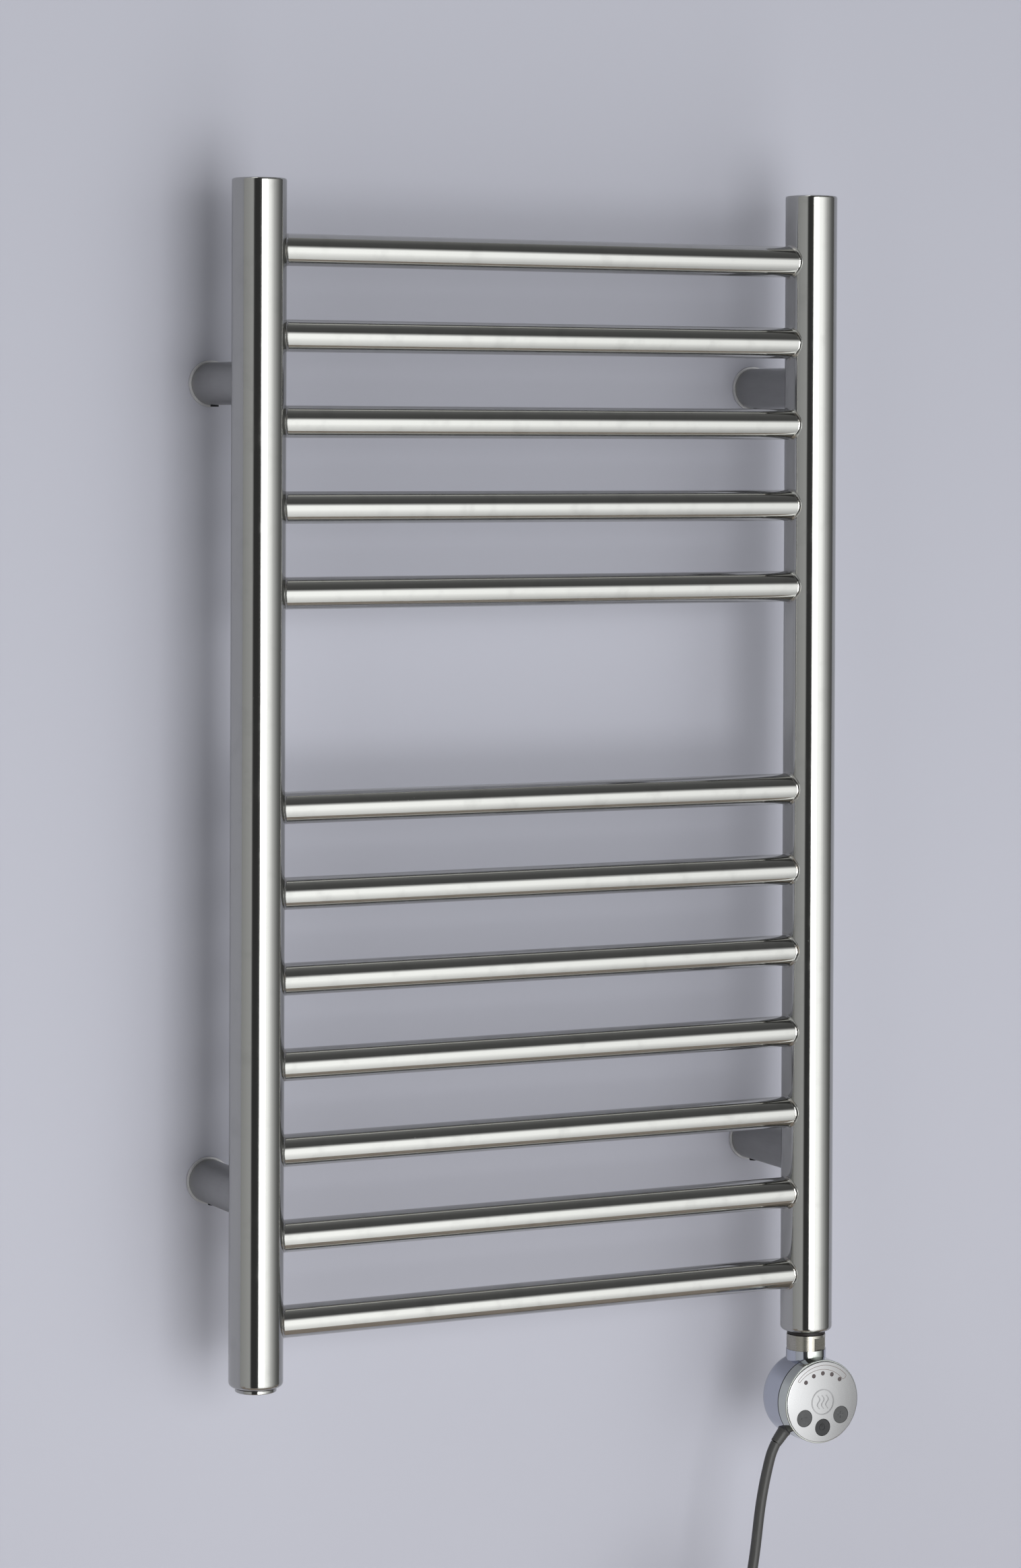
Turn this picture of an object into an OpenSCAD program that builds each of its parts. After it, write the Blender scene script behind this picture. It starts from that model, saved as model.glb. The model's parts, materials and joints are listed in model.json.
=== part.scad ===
// Towel warmer rack: a steel ladder rail that stands off the wall on four brackets, with an
// electric heating element and its round control head under the right upright.
// The origin lies on the wall, in the middle of the four wall fixings. +X is to the right as
// seen from the room, +Y goes into the wall and +Z is up. All sizes are in millimetres.

/* [Ladder] */
// Rails in the upper group
rails_upper = 5; // [3:1:6]
// Rails in the lower group
rails_lower = 7; // [3:1:8]
// Height from one rail's centre to the next in a group
rail_pitch = 50; // [40:1:70]
// Height from the last upper rail's centre to the first lower rail's centre
group_gap = 125; // [60:5:200]
// Outer diameter of a rail
rail_d = 19; // [12:0.5:24]
// Wall of a rail tube
rail_wall = 1.2; // [0.8:0.1:2]
// Distance between the axes of the two uprights
upright_centres = 370; // [280:5:600]
// Outer diameter of an upright
upright_d = 32; // [30:1:40]
// Wall of an upright tube
upright_wall = 1.5; // [1:0.1:2.5]
// Height of the upright's top end above the first rail's centre
top_margin = 41; // [36:1:80]
// Drop of the upright's bottom end below the last rail's centre
bottom_margin = 36; // [28:1:80]
// Depth that a rail end reaches into the upright, past the inner wall at the rail's sides
rail_seat = 0.5; // [0.2:0.1:1]

/* [Upright ends] */
// Height of the top cap that shows above the tube
cap_rim = 3; // [2:0.5:6]
// Radius of the top cap's outer edge
cap_edge_r = 1.3; // [0.5:0.1:1.8]
// Depth of the cap's spigot inside the tube
cap_spigot = 5; // [3:0.5:10]
// Height of the threaded socket that shows below the tube
socket_rim = 5; // [4:0.5:8]
// Radius of the socket's outer bottom edge
socket_edge_r = 2.8; // [1:0.1:3.5]
// Depth of the socket's spigot inside the tube
socket_spigot = 10; // [6:0.5:14]
// Diameter of the half-inch pipe thread, drawn plain
thread_d = 20.6; // [20:0.1:21]

/* [Wall brackets] */
// Distance from the wall to the axes of the uprights
standoff = 74; // [60:1:100]
// Drop of the brackets below the middle of the space between two rails
bracket_drop = 2.5; // [0:0.5:6]
// Outer diameter of a bracket sleeve
sleeve_d = 25.4; // [22:0.1:31]
// Wall of a bracket sleeve
sleeve_wall = 1.4; // [1:0.1:2]
// Radial running clearance between a sleeve and its wall hub
hub_clearance = 0.08; // [0.05:0.01:0.1]
// Thickness of the hub's flange on the wall
flange_t = 1.6; // [1:0.1:3]
// Width of the flange's rim outside the sleeve
flange_rim = 1.2; // [0.5:0.1:4]
// Gap between the flange and the end of the sleeve when the rack is pushed home
sleeve_gap = 0.4; // [0.3:0.1:1]
// Length of a hub from the wall
hub_length = 26; // [20:1:34]
// Diameter of the hole for the wall screw
wall_hole_d = 5.5; // [4.5:0.1:7]
// Diameter of the recess for the wall screw's head
wall_recess_d = 12; // [9:0.5:14]
// Distance from the wall to the clamping screw's axis
clamp_screw_y = 7; // [5.5:0.5:9]
// Diameter of a clamping screw
clamp_screw_d = 5; // [4:0.5:6]
// Diameter of the bolt that holds a sleeve on an upright
sleeve_bolt_d = 6; // [5:0.5:8]

/* [Air vent] */
// Drop of the air vent below the top of the left upright
vent_drop = 19; // [16:1:24]
// Diameter of the air vent's boss
vent_boss_d = 14; // [12:0.5:18]
// Height of the boss behind the upright
vent_boss_h = 7; // [5:0.5:10]
// Diameter of the vent screw
vent_screw_d = 8; // [6:0.5:9]

/* [Heating element] */
// Thickness of the sealing ring under the right socket
seal_t = 2.5; // [1.5:0.1:4]
// Outer diameter of the sealing ring
seal_d = 23.5; // [22:0.1:26]
// Height of the fitting's nut
nut_h = 9.3; // [8:0.1:14]
// Outer diameter of the nut
nut_d = 24; // [23:0.1:28]
// Width of the nut across its spanner flats
nut_flats = 22; // [21:0.1:23]
// Diameter of the heating rod
rod_d = 10; // [8:0.5:10.5]
// Length of the heating rod above the socket
rod_length = 330; // [200:10:600]
// Diameter of the temperature probe's tube
probe_d = 5; // [4:0.5:5.5]
// Length of the probe's tube above the socket
probe_length = 110; // [60:10:180]

/* [Control head] */
// Diameter of the head's shells
head_d = 52; // [52:1:64]
// Distance from the upright's axis to the face of the head
head_front = 20.6; // [19:0.1:26]
// Depth of the front cover, from the face to the parting line
cover_depth = 9.8; // [9.5:0.1:14]
// Depth of the straight part of the rear shell
shell_depth = 16.2; // [12:0.1:20]
// Depth of the rear shell's rounded back
back_round = 8.6; // [5:0.1:9]
// Wall of the shells
shell_wall = 2; // [1.5:0.1:3]
// Outer diameter of the neck between the nut and the head
neck_d = 24.8; // [24:0.1:28]
// Height of the neck between the nut and the head, on the neck's axis
neck_h = 3.5; // [2:0.1:8]
// Diameter of the face disc
face_d = 50; // [46:0.5:50.2]
// Thickness of the face disc at its edge
face_t = 2.4; // [2:0.1:4]
// Rise of the face disc's crown
face_crown = 0.5; // [0:0.1:0.6]
// Diameter of the emblem ring in the middle of the face
emblem_d = 16; // [12:0.5:18]

/* [Buttons and lights] */
// Diameter of a button
button_d = 10.5; // [8:0.1:11]
// Radial clearance of a button in the face disc
button_clearance = 0.1; // [0.05:0.01:0.1]
// Distance from the head's centre to a button
button_circle_r = 15.7; // [15:0.1:16]
// Angle between two buttons
button_angle = 55; // [50:1:70]
// Travel of a button
button_travel = 0.8; // [0.4:0.1:1]
// Height of a button's symbol
symbol_h = 0.25; // [0.1:0.05:0.4]
// Lights on the arc
light_count = 5; // [3:2:7]
// Diameter of a light
light_d = 2.7; // [2:0.1:3.2]
// Distance from the head's centre to a light
light_circle_r = 17.7; // [16.5:0.1:19]
// Angle between two lights
light_angle = 21.3; // [14:0.1:24]

/* [Mains lead] */
// Diameter of the mains lead
cord_d = 6.4; // [5:0.1:8]
// Angle of the lead's outlet from straight down, towards the left
outlet_angle = 40; // [20:1:60]
// Length of the strain relief outside the head
relief_out = 9; // [6:0.5:20]
// Mean radius of the stored coil
coil_r = 33.5; // [30:0.5:45]
// Width of the coil's tie
tie_w = 10; // [6:1:16]
// Diameter of the mains plug's body
plug_d = 36; // [32:1:40]
// Length of the mains plug from its grip to its face
plug_length = 50; // [44:1:60]
// Distance between the plug's two pins
pin_spacing = 19; // [17:0.5:20]
// Diameter of a plug pin
pin_d = 4.8; // [4:0.1:5]
// Length of a plug pin
pin_length = 19; // [17:0.5:20]

/* [Hidden] */
$fn = 48;
eps = 0.01;
CLEAR = 1;

rail_count = rails_upper + rails_lower;
ladder_span = (rails_upper - 1) * rail_pitch + group_gap + (rails_lower - 1) * rail_pitch;
bracket_spacing = ladder_span - 3 * rail_pitch;
first_rail_z = bracket_spacing / 2 + 1.5 * rail_pitch + bracket_drop;
upright_top = first_rail_z + top_margin;
upright_bottom = first_rail_z - ladder_span - bottom_margin;
upright_x = upright_centres / 2;
upright_r = upright_d / 2;
upright_bore_r = upright_r - upright_wall;
rail_r = rail_d / 2;
rail_end_x = upright_x - sqrt(pow(upright_bore_r, 2) - pow(rail_r, 2)) + rail_seat;

sleeve_r = sleeve_d / 2;
sleeve_bore_r = sleeve_r - sleeve_wall;
hub_r = sleeve_bore_r - hub_clearance;
hub_flat = 0.6;
sleeve_floor_y = upright_r + 3;
insert_d = sleeve_bolt_d + 3;
insert_depth = 9;
insert_end_r = sqrt(pow(upright_r, 2) - pow(insert_d / 2, 2)) - 0.1;

socket_r = thread_d / 2;
element_x = 2.5;
probe_x = -element_x - probe_d / 2 - 1;
nut_bottom = upright_bottom - seal_t - nut_h;
head_r = head_d / 2;
head_z = nut_bottom - neck_h - head_r;
cover_bore_r = head_r - shell_wall;
face_r = face_d / 2;
parting_chamfer = 0.35;
face_ledge_s = face_t;
cover_front_s = 0.8;
board_s = cover_depth + 0.8;
board_t = 1.6;
board_r = cover_bore_r - 1.4;
spigot_r = socket_r - 0.6;
spigot_bottom = head_z + head_r - 6;

button_r = button_d / 2;
flange_top_s = face_t + 0.3;
flange_bottom_s = flange_top_s + 0.8;
stem_end_s = flange_bottom_s + 3.2;
switch_top_s = stem_end_s + button_travel + 0.3;

cover_screw_angles = [80, -80, 152.5];
cover_screw_circle_r = cover_bore_r - 2.2;
post_r = 2.5;
cover_screw_r = 1.1;
cover_screw_head_r = 2.1;

outlet_s = cover_depth + shell_depth / 2 + 0.3;
relief_hole_r = cord_d / 2 + 1;
cord_clamp_x = relief_hole_r + 2.2;
outlet_y = outlet_s - standoff - head_front;
coil_y = outlet_y + cord_d / 2;
coil_x = 144.5;
coil_z = -575.5;

// The lead's way from the strain relief down to the coil, as [x, z] points.
LEAD_ROUTE = [
    [162.5, -414.1], [159.3, -420.6], [156.6, -429.6], [154.1, -440], [151.9, -451.4],
    [150.2, -463.2], [148.7, -475.1], [146.9, -487], [144.6, -498.5], [141.2, -510],
    [136.6, -521], [130.8, -531], [123.9, -539.8], [116.3, -547.3]
];
// The lead's way out of the coil's last turn, round the coil and down to the plug.
TAIL_ROUTE = [
    [164.5, -541], [156.6, -536], [148.3, -532.6], [138.5, -531.2], [128.7, -532],
    [117.9, -537.6], [109, -545.7], [102.5, -555.9], [99, -567.5], [98, -580],
    [98, -592], [98, -604]
];
CORD_SIDES = 10;

BRACKETS = ["top_left", "top_right", "bottom_left", "bottom_right"];
function two_digits(n) = n < 10 ? str("0", n) : str(n);
function rail_name(i) = str("rail_", two_digits(i + 1));
function hub_name(i) = str("wall_hub_", BRACKETS[i]);
function sleeve_name(i) = str("sleeve_", BRACKETS[i]);

// Height of rail i, counted from the top.
function rail_z(i) = first_rail_z - i * rail_pitch
    - (i < rails_upper ? 0 : group_gap - rail_pitch);
// Place of bracket i: the left pair is -1 in x, the top pair is +1 in z.
function bracket_x(i) = (i % 2 == 0 ? -1 : 1) * upright_x;
function bracket_z(i) = (i < 2 ? 1 : -1) * bracket_spacing / 2;
// Points of an arc round centre c, from angle a to angle b.
function arc(c, r, a, b, n = 6) =
    [for (k = [0 : n]) c + r * [cos(a + (b - a) * k / n), sin(a + (b - a) * k / n)]];

// Draws its children with their Z axis along +Y, from bracket i's place on the wall. Their
// z counts from the wall, so what stands off the wall has a negative z.
module on_bracket(i) {
    translate([bracket_x(i), 0, bracket_z(i)]) rotate([-90, 0, 0]) children();
}

// Draws its children on the head's face: x to the right, y down and z into the head.
module in_head() {
    translate([upright_x, -standoff - head_front, head_z]) rotate([-90, 0, 0]) children();
}

// Places its children at one of the cord clamp's two screws, with z towards the wall.
module at_cord_clamp(side) {
    outlet_axis() translate([side * cord_clamp_x, relief_hole_r, cover_bore_r - 7])
        rotate([90, 0, 0]) children();
}

// Places its children in the head at radius r and angle a from straight up, clockwise.
module at_clock(r, a) {
    translate([r * sin(a), -r * cos(a), 0]) children();
}

module at_cover_screws() {
    for (angle = cover_screw_angles) at_clock(cover_screw_circle_r, angle) children();
}

// Draws its children with their Z axis along an upright, at the given side of the ladder.
module on_upright(side) {
    translate([side * upright_x, -standoff, 0]) children();
}

module tube(outer_r, bore_r, low, high) {
    difference() {
        translate([0, 0, low]) cylinder(r = outer_r, h = high - low);
        translate([0, 0, low - CLEAR]) cylinder(r = bore_r, h = high - low + 2 * CLEAR);
    }
}

// An upright is drilled for its rails on the inner side and for two inserts at the back.
module upright(side) {
    color("gainsboro") difference() {
        on_upright(side) tube(upright_r, upright_bore_r,
            upright_bottom + socket_rim, upright_top - cap_rim);
        for (i = [0 : rail_count - 1])
            translate([0, -standoff, rail_z(i)]) rotate([0, side * 90, 0])
                cylinder(r = rail_r, h = upright_x);
        for (i = [0 : 3])
            if (bracket_x(i) * side > 0)
                on_bracket(i) translate([0, 0, -standoff])
                    cylinder(d = insert_d, h = upright_r + CLEAR);
        if (side < 0)
            vent_axis() cylinder(d = vent_screw_d, h = upright_r + CLEAR);
    }
}

// The rail's tube ends just inside both uprights, where it is welded all round.
module rail(i) {
    color("gainsboro") translate([0, -standoff, rail_z(i)]) rotate([0, 90, 0])
        tube(rail_r, rail_r - rail_wall, -rail_end_x, rail_end_x);
}

module top_cap(side) {
    color("gainsboro") on_upright(side) translate([0, 0, upright_top])
        rotate_extrude() polygon(concat(
            [[0, 0]],
            arc([upright_r - cap_edge_r, -cap_edge_r], cap_edge_r, 90, 0),
            [[upright_r, -cap_rim], [upright_bore_r, -cap_rim],
             [upright_bore_r, -cap_rim - cap_spigot],
             [upright_bore_r - 2, -cap_rim - cap_spigot],
             [upright_bore_r - 2, -cap_rim], [0, -cap_rim]]));
}

module socket(side) {
    color("gainsboro") on_upright(side) translate([0, 0, upright_bottom])
        rotate_extrude() polygon(concat(
            [[socket_r, 0]],
            arc([upright_r - socket_edge_r, socket_edge_r], socket_edge_r, -90, 0),
            [[upright_r, socket_rim], [upright_bore_r, socket_rim],
             [upright_bore_r, socket_rim + socket_spigot],
             [socket_r, socket_rim + socket_spigot]]));
}

// The hub is screwed to the wall, and its flat leaves room for the clamping screw.
module wall_hub(i) {
    color("silver") on_bracket(i) difference() {
        union() {
            translate([0, 0, -flange_t]) cylinder(r = sleeve_r + flange_rim, h = flange_t);
            translate([0, 0, -hub_length]) cylinder(r = hub_r, h = hub_length);
        }
        translate([0, 0, -hub_length - CLEAR])
            cylinder(d = wall_hole_d, h = hub_length + 2 * CLEAR);
        translate([0, 0, -hub_length - CLEAR])
            cylinder(d = wall_recess_d, h = hub_length - 6 + CLEAR);
        translate([-sleeve_r, hub_r - hub_flat, -hub_length - CLEAR])
            cube([sleeve_d, sleeve_r, hub_length - flange_t + CLEAR]);
    }
}

// The sleeve slides on the hub. Its front end is cut to sit round the upright.
module sleeve(i) {
    color("gainsboro") difference() {
        on_bracket(i) difference() {
            translate([0, 0, -standoff])
                cylinder(r = sleeve_r, h = standoff - flange_t - sleeve_gap);
            translate([0, 0, sleeve_floor_y - standoff])
                cylinder(r = sleeve_bore_r, h = standoff);
            translate([0, 0, -standoff]) cylinder(d = sleeve_bolt_d, h = standoff);
            translate([0, 0, -clamp_screw_y]) rotate([-90, 0, 0])
                cylinder(d = clamp_screw_d, h = sleeve_d);
        }
        on_upright(sign(bracket_x(i))) translate([0, 0, bracket_z(i) - sleeve_d])
            cylinder(r = upright_r, h = 2 * sleeve_d);
    }
}

module clamp_screws() {
    head_out = 1;
    color("dimgray") for (i = [0 : 3])
        on_bracket(i) translate([0, 0, -clamp_screw_y]) rotate([-90, 0, 0]) difference() {
            translate([0, 0, sleeve_bore_r])
                cylinder(d = clamp_screw_d, h = sleeve_wall + head_out);
            translate([0, 0, sleeve_r - 0.6])
                cylinder(d = clamp_screw_d / 2, h = 2 * head_out, $fn = 6);
        }
}

module upright_inserts() {
    color("goldenrod") for (i = [0 : 3])
        on_bracket(i) translate([0, 0, insert_end_r - insert_depth - standoff])
            tube(insert_d / 2, sleeve_bolt_d / 2, 0, insert_depth);
}

module sleeve_bolts() {
    head_h = 4;
    color("silver") for (i = [0 : 3])
        on_bracket(i) translate([0, 0, -standoff]) {
            translate([0, 0, upright_r - insert_depth + 1])
                cylinder(d = sleeve_bolt_d, h = sleeve_floor_y - upright_r + insert_depth - 1);
            translate([0, 0, sleeve_floor_y]) difference() {
                cylinder(d = sleeve_bolt_d * 1.7, h = head_h);
                translate([0, 0, 1.5]) cylinder(d = sleeve_bolt_d * 0.95, h = head_h, $fn = 6);
            }
        }
}

module blanking_plug() {
    flange_h = 2;
    flange_r = 12.2;
    seal_h = 0.8;
    color("gainsboro") on_upright(-1) translate([0, 0, upright_bottom - seal_h]) difference() {
        union() {
            cylinder(r = socket_r, h = seal_h + socket_rim + socket_spigot - 2);
            rotate_extrude() polygon(concat(
                [[0, 0], [flange_r, 0]],
                arc([flange_r - 0.6, 0.6 - flange_h], 0.6, 0, -90),
                [[0, -flange_h]]));
        }
        translate([0, 0, -flange_h - CLEAR]) cylinder(d = 13.9, h = 7 + CLEAR, $fn = 6);
    }
}

module blanking_seal() {
    color("black") on_upright(-1) tube(12, socket_r, upright_bottom - 0.8, upright_bottom);
}

// The vent's axis runs out of the back of the left upright, towards the wall.
module vent_axis() {
    translate([-upright_x, -standoff, upright_top - vent_drop]) rotate([-90, 0, 0]) children();
}

module vent_boss() {
    color("gainsboro") difference() {
        vent_axis() tube(vent_boss_d / 2, vent_screw_d / 2, 0, upright_r + vent_boss_h);
        on_upright(-1) translate([0, 0, upright_top - 2 * vent_drop])
            cylinder(r = upright_r, h = 2 * vent_drop);
    }
}

module vent_screw() {
    thread_r = vent_screw_d / 2 - 0.05;
    stem_h = 4;
    key = 5;
    color("silver") vent_axis() {
        translate([0, 0, upright_r - 1]) cylinder(r = thread_r, h = vent_boss_h + 1.5);
        translate([-key / 2, -key / 2, upright_r + vent_boss_h + 0.5]) cube([key, key, stem_h]);
    }
}

// The fitting screws into the right socket. Its nut has two spanner flats that stop short of
// the nut's top, and its spigot carries the control head.
module element_fitting() {
    flat_stop = 1.6;
    flats_turn = 19.5;
    color("tan") on_upright(1) difference() {
        union() {
            translate([0, 0, nut_bottom])
                cylinder(r = socket_r, h = upright_bottom - nut_bottom + socket_rim
                    + socket_spigot - 2);
            difference() {
                translate([0, 0, nut_bottom]) cylinder(d = nut_d, h = nut_h);
                rotate([0, 0, flats_turn]) for (face = [-1, 1])
                    translate([-nut_d, face * (nut_flats + nut_d) / 2 - nut_d / 2,
                        nut_bottom - CLEAR]) cube([2 * nut_d, nut_d, nut_h - flat_stop + CLEAR]);
            }
            translate([0, 0, spigot_bottom]) cylinder(r = spigot_r, h = nut_bottom - spigot_bottom);
        }
        translate([element_x, 0, spigot_bottom + 2]) cylinder(d = rod_d, h = 3 * head_d);
        translate([probe_x, 0, spigot_bottom + 2]) cylinder(d = probe_d, h = 3 * head_d);
    }
}

module element_seal() {
    bulge = seal_t / 2;
    color("black") on_upright(1) translate([0, 0, upright_bottom - bulge])
        rotate_extrude() polygon(concat(
            [[socket_r, -bulge]],
            arc([seal_d / 2 - bulge * 0.6, -bulge * 0.4], bulge * 0.6, -90, 0, 3),
            arc([seal_d / 2 - bulge * 0.6, bulge * 0.4], bulge * 0.6, 0, 90, 3),
            [[socket_r, bulge]]));
}

// A straight tube with a domed tip, standing in the right upright's bore.
module immersed_tube(x, d, length) {
    bottom = spigot_bottom + 2;
    on_upright(1) translate([x, 0, 0]) {
        translate([0, 0, bottom]) cylinder(d = d, h = upright_bottom + length - d / 2 - bottom);
        translate([0, 0, upright_bottom + length - d / 2]) sphere(d = d);
    }
}

module heating_rod() {
    color("silver") immersed_tube(element_x, rod_d, rod_length);
}

module probe_tube() {
    color("silver") immersed_tube(probe_x, probe_d, probe_length);
}

// Outline of the rear shell as [radius, depth], grown inwards by inset.
function shell_outline(inset) = concat(
    [[0, cover_depth], [head_r - inset - parting_chamfer, cover_depth],
     [head_r - inset, cover_depth + parting_chamfer]],
    arc([head_r - back_round, cover_depth + shell_depth], back_round - inset, 0, 90, 8),
    [[0, cover_depth + shell_depth + back_round - inset]]
);

module shell_solid(inset) {
    rotate_extrude($fn = 72) polygon(shell_outline(inset));
}

module outlet_axis() {
    translate([0, 0, outlet_s]) rotate([-90, 0, outlet_angle]) children();
}

module neck_envelope() {
    difference() {
        on_upright(1) translate([0, 0, head_z])
            cylinder(d = neck_d, h = nut_bottom - head_z);
        in_head() translate([0, 0, -CLEAR]) cylinder(r = head_r, h = cover_depth + CLEAR);
    }
}

module rear_housing() {
    spigot_clearance = 0.05;
    color("lightsteelblue") difference() {
        union() {
            in_head() difference() {
                shell_solid(0);
                translate([0, 0, -eps]) shell_solid(shell_wall);
            }
            intersection() {
                in_head() shell_solid(0);
                in_head() {
                    at_cover_screws() translate([0, 0, cover_depth])
                        cylinder(r = post_r, h = shell_depth + back_round);
                    for (side = [-1, 1]) at_cord_clamp(side) cylinder(r = 2.1, h = head_d);
                }
            }
            difference() {
                neck_envelope();
                in_head() translate([0, 0, -eps]) shell_solid(shell_wall);
            }
        }
        on_upright(1) translate([0, 0, spigot_bottom])
            cylinder(r = spigot_r + spigot_clearance, h = head_d);
        in_head() {
            outlet_axis() cylinder(r = relief_hole_r, h = head_d);
            for (side = [-1, 1]) at_cord_clamp(side) translate([0, 0, -CLEAR])
                cylinder(r = 1.2, h = 8 + CLEAR);
            at_cover_screws() {
                cylinder(r = cover_screw_r, h = head_d);
                translate([0, 0, cover_depth + shell_depth])
                    cylinder(r = cover_screw_head_r, h = head_d);
            }
        }
        neck_screw_axis() cylinder(r = 1.5, h = neck_d);
    }
}

// The front cover is a ring with a ledge that carries the face disc.
module front_cover() {
    seat_r = face_r + 0.05;
    ledge_r = face_r - 2.4;
    ledge_t = 1.6;
    edge_r = 0.6;
    draft = 0.3;
    color("lightsteelblue") in_head() difference() {
        union() {
            rotate_extrude($fn = 72) polygon(concat(
                [[cover_bore_r, cover_depth], [head_r - parting_chamfer, cover_depth],
                 [head_r, cover_depth - parting_chamfer]],
                arc([head_r - draft - edge_r, cover_front_s + edge_r], edge_r, 0, -90, 4),
                [[seat_r, cover_front_s], [seat_r, face_ledge_s], [ledge_r, face_ledge_s],
                 [ledge_r, face_ledge_s + ledge_t], [cover_bore_r, face_ledge_s + ledge_t]]));
            at_cover_screws() translate([0, 0, face_ledge_s])
                cylinder(r = post_r, h = cover_depth - face_ledge_s);
        }
        at_cover_screws() translate([0, 0, face_ledge_s + 2])
            cylinder(r = cover_screw_r, h = cover_depth);
    }
}

// The face disc is crowned, with holes for the buttons and the lights and a seat for the emblem.
module face_disc() {
    edge_r = 0.5;
    crown_r = (pow(face_r - edge_r, 2) + pow(face_crown, 2)) / (2 * face_crown + eps);
    color("whitesmoke") in_head() difference() {
        rotate_extrude($fn = 72) polygon(concat(
            [for (k = [0 : 6]) let (r = (face_r - edge_r) * k / 6)
                [r, sqrt(pow(crown_r, 2) - pow(face_r - edge_r, 2))
                    - sqrt(pow(crown_r, 2) - pow(r, 2))]],
            arc([face_r - edge_r, edge_r], edge_r, -60, 0, 3),
            [[face_r, face_t], [0, face_t]]));
        for (k = [-1 : 1])
            at_clock(button_circle_r, 180 + k * button_angle) translate([0, 0, -CLEAR])
                cylinder(r = button_r + button_clearance, h = face_t + 2 * CLEAR);
        lights() translate([0, 0, -CLEAR]) cylinder(d = light_d, h = face_t + 2 * CLEAR);
        emblem(-CLEAR);
    }
}

// A plain ring with three waves of warm air inside it, from the given depth to its seat.
module emblem(front) {
    ring_w = 0.7;
    seat = 0.3 - face_crown;
    tube(emblem_d / 2, emblem_d / 2 - ring_w, front, seat);
    for (x = [-3, 0, 3])
        translate([x, 0, front]) linear_extrude(seat - front) warm_wave(8.4, 0.9, 0.8);
}

module face_emblem() {
    rise = 0.15;
    color("silver") in_head() emblem(-face_crown - rise);
}

// A wavy line of one and a quarter waves, with the given height, swing and width.
module warm_wave(height, swing, line_w) {
    steps = 16;
    middle = [for (k = [0 : steps])
        [swing * sin(450 * k / steps - 45), height * (k / steps - 0.5)]];
    polygon(concat(
        [for (p = middle) p + [line_w / 2, 0]],
        [for (k = [steps : -1 : 0]) middle[k] - [line_w / 2, 0]]));
}

module lights() {
    half = (light_count - 1) / 2;
    for (k = [-half : half]) at_clock(light_circle_r, k * light_angle) children();
}

module light_pipes() {
    color("dimgray") in_head() lights() translate([0, 0, -0.05])
        cylinder(d = light_d, h = board_s - 0.25);
}

// The mat's three holes guide the button stems, and its rim rests under the cover's ledge.
module button_mat() {
    top = flange_bottom_s + button_travel + 0.4;
    color("darkslategray") in_head() difference() {
        translate([0, 0, top]) cylinder(r = board_r - 1.5, h = 0.8);
        for (k = [-1 : 1])
            at_clock(button_circle_r, 180 + k * button_angle) cylinder(r = 2.1, h = head_d);
        lights() cylinder(d = light_d, h = head_d);
        at_cover_screws() cylinder(r = post_r, h = head_d);
    }
}

module circuit_board() {
    color("darkgreen") in_head() difference() {
        translate([0, 0, board_s]) cylinder(r = board_r, h = board_t);
        at_cover_screws() cylinder(r = post_r + 0.3, h = head_d);
        translate([-spigot_r - 1, -head_d, 0]) cube([2 * spigot_r + 2, head_d - 12.5, head_d]);
    }
}

// Three switches and the relay, the power triac and the terminal block of the board.
module board_parts() {
    switch_w = 6;
    back_s = board_s + board_t;
    color("dimgray") in_head() {
        for (k = [-1 : 1])
            at_clock(button_circle_r, 180 + k * button_angle) {
                translate([-switch_w / 2, -switch_w / 2, board_s - 2]) cube([switch_w, switch_w, 2]);
                translate([0, 0, switch_top_s]) cylinder(r = 1.5, h = board_s - 2 - switch_top_s);
            }
        translate([1, -7, back_s]) cube([15, 11, 9]);
        translate([-14, -5, back_s]) cube([10, 4, 8]);
        translate([2, 6.5, back_s]) cube([12, 7, 8]);
    }
}

module button_body() {
    edge_r = 0.4;
    rotate_extrude() polygon(concat(
        [[0, -face_crown / 2]],
        arc([button_r - edge_r, edge_r - face_crown / 2], edge_r, -90, 0, 3),
        [[button_r, flange_top_s], [button_r + 0.9, flange_top_s],
         [button_r + 0.9, flange_bottom_s], [1.6, flange_bottom_s],
         [1.6, stem_end_s], [0, stem_end_s]]));
}

// Button k sits at the bottom right, the bottom or the bottom left of the face. Its children
// are the symbol, drawn flat and raised by symbol_h.
module button(k) {
    color("dimgray") in_head() at_clock(button_circle_r, 180 + k * button_angle) {
        button_body();
        translate([0, 0, -face_crown / 2 - symbol_h]) linear_extrude(symbol_h + 0.2) children();
    }
}

module bar_symbol(turn) {
    rotate(turn) square([4, 0.8], center = true);
}

module button_minus() {
    button(1) bar_symbol(0);
}

module button_plus() {
    button(-1) union() {
        bar_symbol(0);
        bar_symbol(90);
    }
}

module button_power() {
    button(0) union() {
        difference() {
            circle(r = 2.2);
            circle(r = 1.5);
            translate([-0.8, -3]) square([1.6, 3]);
        }
        translate([-0.35, -2.8]) square([0.7, 2.4]);
    }
}

module cover_screws() {
    head_s = cover_depth + shell_depth;
    color("silver") in_head() at_cover_screws() {
        translate([0, 0, face_ledge_s + 3])
            cylinder(r = cover_screw_r, h = head_s - face_ledge_s - 3);
        translate([0, 0, head_s]) difference() {
            cylinder(r = cover_screw_head_r, h = 1.6);
            for (turn = [0, 90])
                rotate(turn) translate([-1.4, -0.3, 0.8]) cube([2.8, 0.6, 1]);
        }
    }
}

// The neck's screw comes in from the back and locks the head on the fitting's spigot.
module neck_screw_axis() {
    translate([upright_x, -standoff + spigot_r, nut_bottom - neck_h / 2 - 0.7])
        rotate([-90, 0, 0]) children();
}

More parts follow.
